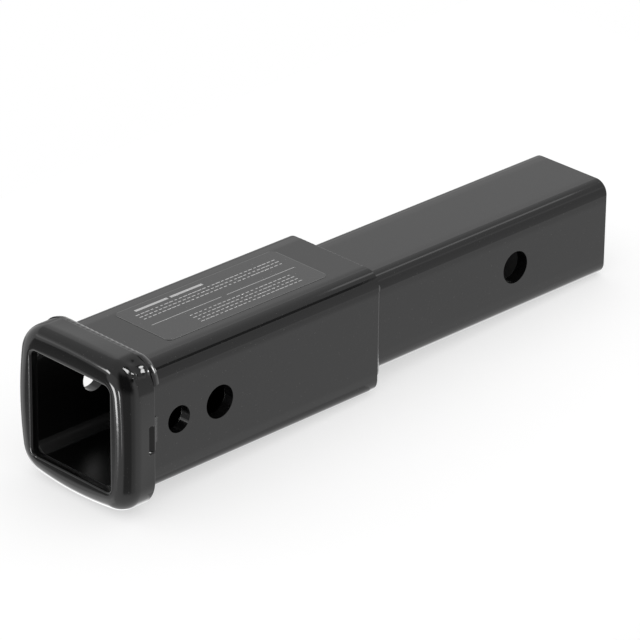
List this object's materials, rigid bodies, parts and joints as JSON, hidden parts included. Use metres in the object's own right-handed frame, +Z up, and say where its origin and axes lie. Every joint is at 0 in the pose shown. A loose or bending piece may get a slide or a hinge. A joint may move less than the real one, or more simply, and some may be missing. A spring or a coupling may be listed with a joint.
{
  "type": "hitch extender",
  "caption": "Square receiver tube with a forged collar at its mouth and a smaller square shank welded into its rear end, cross-drilled for hitch pins.",
  "frame": {"origin": "centre of the mouth, on the collar's front face", "axes": "+X along the tube from the mouth to the shank's free end, +Y left, +Z up"},
  "size_m": [0.3323, 0.0786, 0.0782],
  "materials": {
    "black_paint": "gloss black paint over rolled steel tube",
    "collar_paint": "gloss black paint over forged steel",
    "weld_paint": "gloss black paint over rippled weld beads",
    "label_film": "thin black film with pale printed rules and bars"
  },
  "bodies": {
    "root": {"receiver_tube": "black_paint", "shank_tube": "black_paint", "collar": "collar_paint", "collar_weld_top": "weld_paint", "collar_weld_under": "weld_paint", "collar_weld_right": "weld_paint", "collar_weld_left": "weld_paint", "shank_weld_top": "weld_paint", "shank_weld_right": "weld_paint", "shank_weld_under": "weld_paint", "shank_weld_left": "weld_paint", "label_film": "label_film"}
  },
  "joints": []
}
